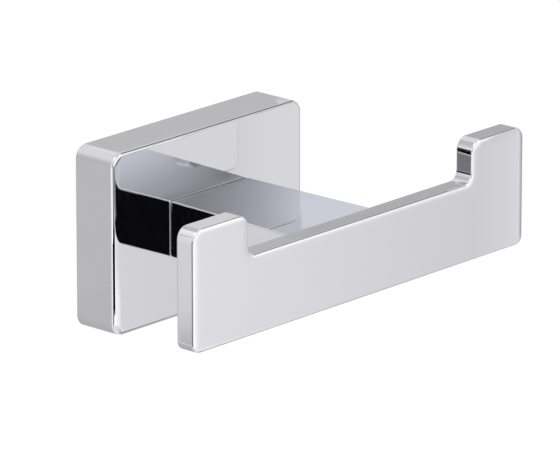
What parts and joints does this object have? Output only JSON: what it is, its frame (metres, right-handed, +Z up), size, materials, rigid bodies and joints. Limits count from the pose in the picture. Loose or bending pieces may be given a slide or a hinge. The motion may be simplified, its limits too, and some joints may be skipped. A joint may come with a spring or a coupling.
{
  "type": "double wall hook",
  "caption": "Chromed double wall hook: a deep rectangular wall plate, a short flared arm and a U-shaped front bar whose ends turn up as tabs for robes and towels.",
  "frame": {"origin": "middle of the rosette's back, in the plane of the wall, midway between the two wall screw holes", "axes": "+Y into the wall, +X along the bar, +Z up; the hook stands out from the wall towards -Y"},
  "size_m": [0.095, 0.0502, 0.0368],
  "materials": {
    "rosette_chrome": "polished",
    "hook_chrome": "polished",
    "bracket_zinc": "satin",
    "screw_steel": "satin",
    "set_screw_steel": "satin"
  },
  "bodies": {
    "root": {"rosette": "rosette_chrome", "hook": "hook_chrome", "wall_bracket": "bracket_zinc", "arm_screws": "screw_steel", "set_screw": "set_screw_steel"}
  },
  "joints": []
}
